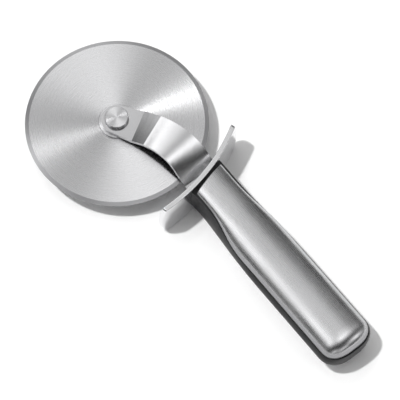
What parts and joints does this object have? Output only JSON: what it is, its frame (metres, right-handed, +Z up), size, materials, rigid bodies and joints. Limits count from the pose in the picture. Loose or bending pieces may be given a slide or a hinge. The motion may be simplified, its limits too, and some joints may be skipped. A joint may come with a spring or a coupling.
{
  "type": "pizza cutter wheel",
  "caption": "Hand-held rotary cutter: free-turning bevelled disc on a riveted curved steel neck, with a thumb guard and a steel-clad soft-edged handle.",
  "frame": {"origin": "bottom centre of the whole tool's box, on the table the tool lies on", "axes": "+X along the handle, from the wheel towards the handle's end; +Z up, along the wheel's axle; +Y to the side the neck and handle are set off to"},
  "size_m": [0.2362, 0.1016, 0.026],
  "materials": {
    "blade_steel": "circular brushed",
    "hub_steel": "turned",
    "bushing_plastic": "plain",
    "rivet_steel": "turned and polished",
    "washer_steel": "plain",
    "neck_steel": "polished along its length",
    "guard_steel": "polished",
    "shell_steel": "brushed lengthwise",
    "grip_rubber": "satin",
    "core_plastic": "plain",
    "pin_steel": "plain"
  },
  "bodies": {
    "frame": {"axle_rivet": "rivet_steel", "upper_washer": "washer_steel", "lower_washer": "washer_steel", "backing_washer": "washer_steel", "neck_strap": "neck_steel", "thumb_guard": "guard_steel", "upper_shell": "shell_steel", "lower_shell": "shell_steel", "grip_band": "grip_rubber", "core_upper": "core_plastic", "core_lower": "core_plastic", "tang_pins": "pin_steel"},
    "wheel": {"blade": "blade_steel", "hub_boss": "hub_steel", "hub_ring": "hub_steel", "hub_bushing": "bushing_plastic"}
  },
  "joints": [
    {"name": "wheel_spin", "type": "hinge", "parent": "frame", "child": "wheel", "pos_m": [-0.06733, 0, 0.013], "axis": [0, 0, 1], "continuous": true}
  ]
}
